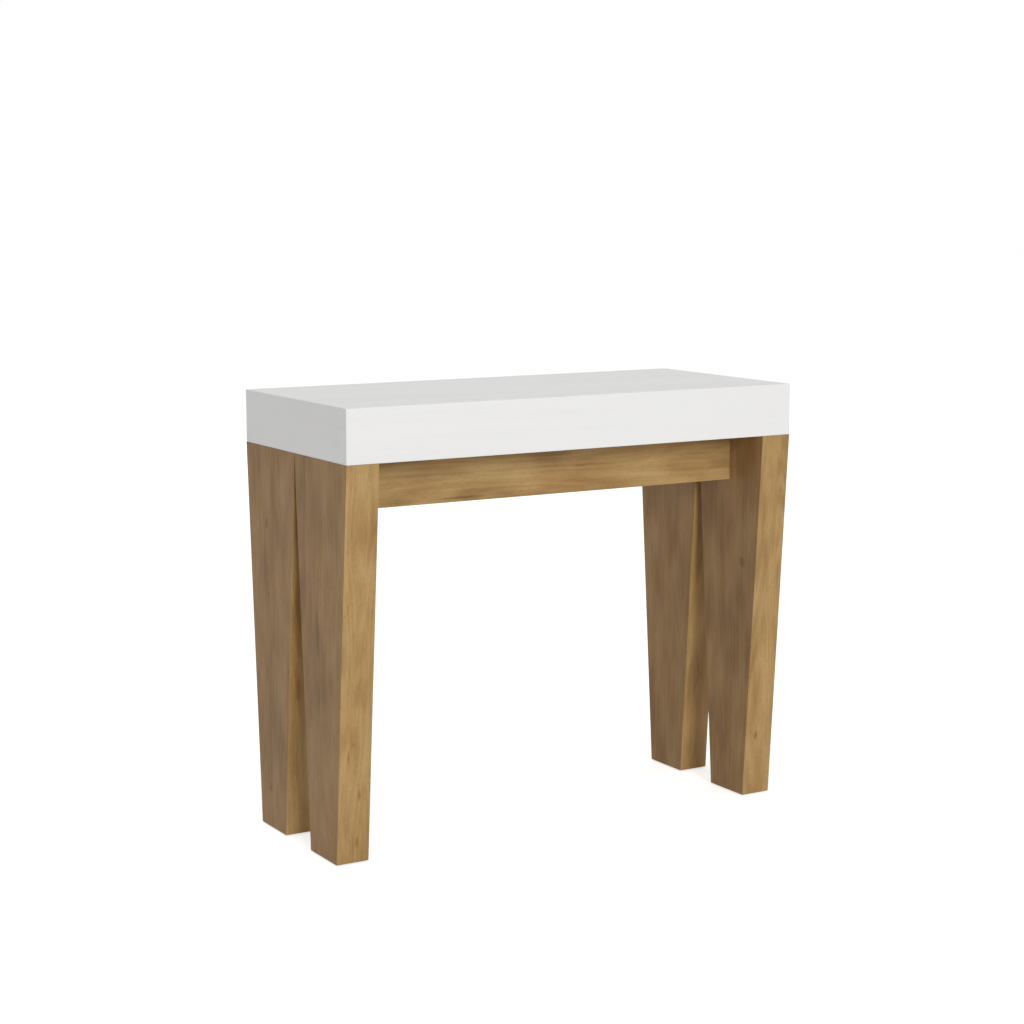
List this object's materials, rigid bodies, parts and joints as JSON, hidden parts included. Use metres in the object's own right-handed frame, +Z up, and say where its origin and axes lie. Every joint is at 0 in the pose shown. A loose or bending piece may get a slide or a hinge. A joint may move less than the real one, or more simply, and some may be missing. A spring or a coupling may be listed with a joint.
{
  "type": "extending console table",
  "caption": "Narrow console table with a white box top on tapered oak legs, which splits lengthwise and pulls open on telescopic aluminium rails to take loose leaves.",
  "frame": {"origin": "on the floor under the middle of the closed table", "axes": "+X along the long side, +Y from the front half to the rear half, which slides out that way, +Z up"},
  "size_m": [0.9, 0.4, 0.774],
  "materials": {
    "white_ash": "matt white ash laminate",
    "oak": "matt oak laminate",
    "beech": "plain sanded beech",
    "aluminium": "satin anodised",
    "nylon": "moulded nylon",
    "zinc_steel": "bright zinc plate"
  },
  "bodies": {
    "front_half": {"front_top_panel": "white_ash", "front_fascia": "white_ash", "front_left_end_panel": "white_ash", "front_right_end_panel": "white_ash", "front_left_leg": "oak", "front_right_leg": "oak", "front_apron": "oak", "front_leg_top_blocks": "beech", "front_leg_plates": "beech", "front_rail_battens": "beech", "front_left_rail": "aluminium", "front_right_rail": "aluminium", "front_rail_shoes": "nylon", "front_leg_glides": "nylon", "front_leg_bolts": "zinc_steel", "front_leg_inserts": "zinc_steel", "front_apron_brackets": "zinc_steel", "front_bracket_screws": "zinc_steel", "front_rail_screws": "zinc_steel", "alignment_dowels": "beech"},
    "rear_half": {"rear_top_panel": "white_ash", "rear_fascia": "white_ash", "rear_left_end_panel": "white_ash", "rear_right_end_panel": "white_ash", "rear_left_leg": "oak", "rear_right_leg": "oak", "rear_apron": "oak", "rear_leg_top_blocks": "beech", "rear_leg_plates": "beech", "rear_rail_battens": "beech", "rear_left_rail": "aluminium", "rear_right_rail": "aluminium", "rear_rail_shoes": "nylon", "rear_leg_glides": "nylon", "rear_leg_bolts": "zinc_steel", "rear_leg_inserts": "zinc_steel", "rear_apron_brackets": "zinc_steel", "rear_bracket_screws": "zinc_steel", "rear_rail_screws": "zinc_steel"},
    "left_stage_1": {"left_rail_stage_1": "aluminium", "left_shoes_stage_1": "nylon"},
    "left_stage_2": {"left_rail_stage_2": "aluminium", "left_shoes_stage_2": "nylon"},
    "left_stage_3": {"left_rail_stage_3": "aluminium", "left_shoes_stage_3": "nylon"},
    "left_stage_4": {"left_rail_stage_4": "aluminium", "left_shoes_stage_4": "nylon"},
    "left_stage_5": {"left_rail_stage_5": "aluminium", "left_shoes_stage_5": "nylon"},
    "right_stage_1": {"right_rail_stage_1": "aluminium", "right_shoes_stage_1": "nylon"},
    "right_stage_2": {"right_rail_stage_2": "aluminium", "right_shoes_stage_2": "nylon"},
    "right_stage_3": {"right_rail_stage_3": "aluminium", "right_shoes_stage_3": "nylon"},
    "right_stage_4": {"right_rail_stage_4": "aluminium", "right_shoes_stage_4": "nylon"},
    "right_stage_5": {"right_rail_stage_5": "aluminium", "right_shoes_stage_5": "nylon"}
  },
  "joints": [
    {"name": "extension_slide", "type": "slide", "parent": "front_half", "child": "rear_half", "axis": [0, 1, 0], "range_m": [0, 1.56]},
    {"name": "left_stage_1_slide", "type": "slide", "parent": "front_half", "child": "left_stage_1", "axis": [0, 1, 0], "range_m": [0, 0.26]},
    {"name": "left_stage_2_slide", "type": "slide", "parent": "front_half", "child": "left_stage_2", "axis": [0, 1, 0], "range_m": [0, 0.52]},
    {"name": "left_stage_3_slide", "type": "slide", "parent": "front_half", "child": "left_stage_3", "axis": [0, 1, 0], "range_m": [0, 0.78]},
    {"name": "left_stage_4_slide", "type": "slide", "parent": "front_half", "child": "left_stage_4", "axis": [0, 1, 0], "range_m": [0, 1.04]},
    {"name": "left_stage_5_slide", "type": "slide", "parent": "front_half", "child": "left_stage_5", "axis": [0, 1, 0], "range_m": [0, 1.3]},
    {"name": "right_stage_1_slide", "type": "slide", "parent": "front_half", "child": "right_stage_1", "axis": [0, 1, 0], "range_m": [0, 0.26]},
    {"name": "right_stage_2_slide", "type": "slide", "parent": "front_half", "child": "right_stage_2", "axis": [0, 1, 0], "range_m": [0, 0.52]},
    {"name": "right_stage_3_slide", "type": "slide", "parent": "front_half", "child": "right_stage_3", "axis": [0, 1, 0], "range_m": [0, 0.78]},
    {"name": "right_stage_4_slide", "type": "slide", "parent": "front_half", "child": "right_stage_4", "axis": [0, 1, 0], "range_m": [0, 1.04]},
    {"name": "right_stage_5_slide", "type": "slide", "parent": "front_half", "child": "right_stage_5", "axis": [0, 1, 0], "range_m": [0, 1.3]}
  ],
  "couplings": [
    {"joint": "left_stage_1_slide", "follows": "extension_slide", "ratio": 0.16667},
    {"joint": "left_stage_2_slide", "follows": "extension_slide", "ratio": 0.33333},
    {"joint": "left_stage_3_slide", "follows": "extension_slide", "ratio": 0.5},
    {"joint": "left_stage_4_slide", "follows": "extension_slide", "ratio": 0.66667},
    {"joint": "left_stage_5_slide", "follows": "extension_slide", "ratio": 0.83333},
    {"joint": "right_stage_1_slide", "follows": "extension_slide", "ratio": 0.16667},
    {"joint": "right_stage_2_slide", "follows": "extension_slide", "ratio": 0.33333},
    {"joint": "right_stage_3_slide", "follows": "extension_slide", "ratio": 0.5},
    {"joint": "right_stage_4_slide", "follows": "extension_slide", "ratio": 0.66667},
    {"joint": "right_stage_5_slide", "follows": "extension_slide", "ratio": 0.83333}
  ]
}
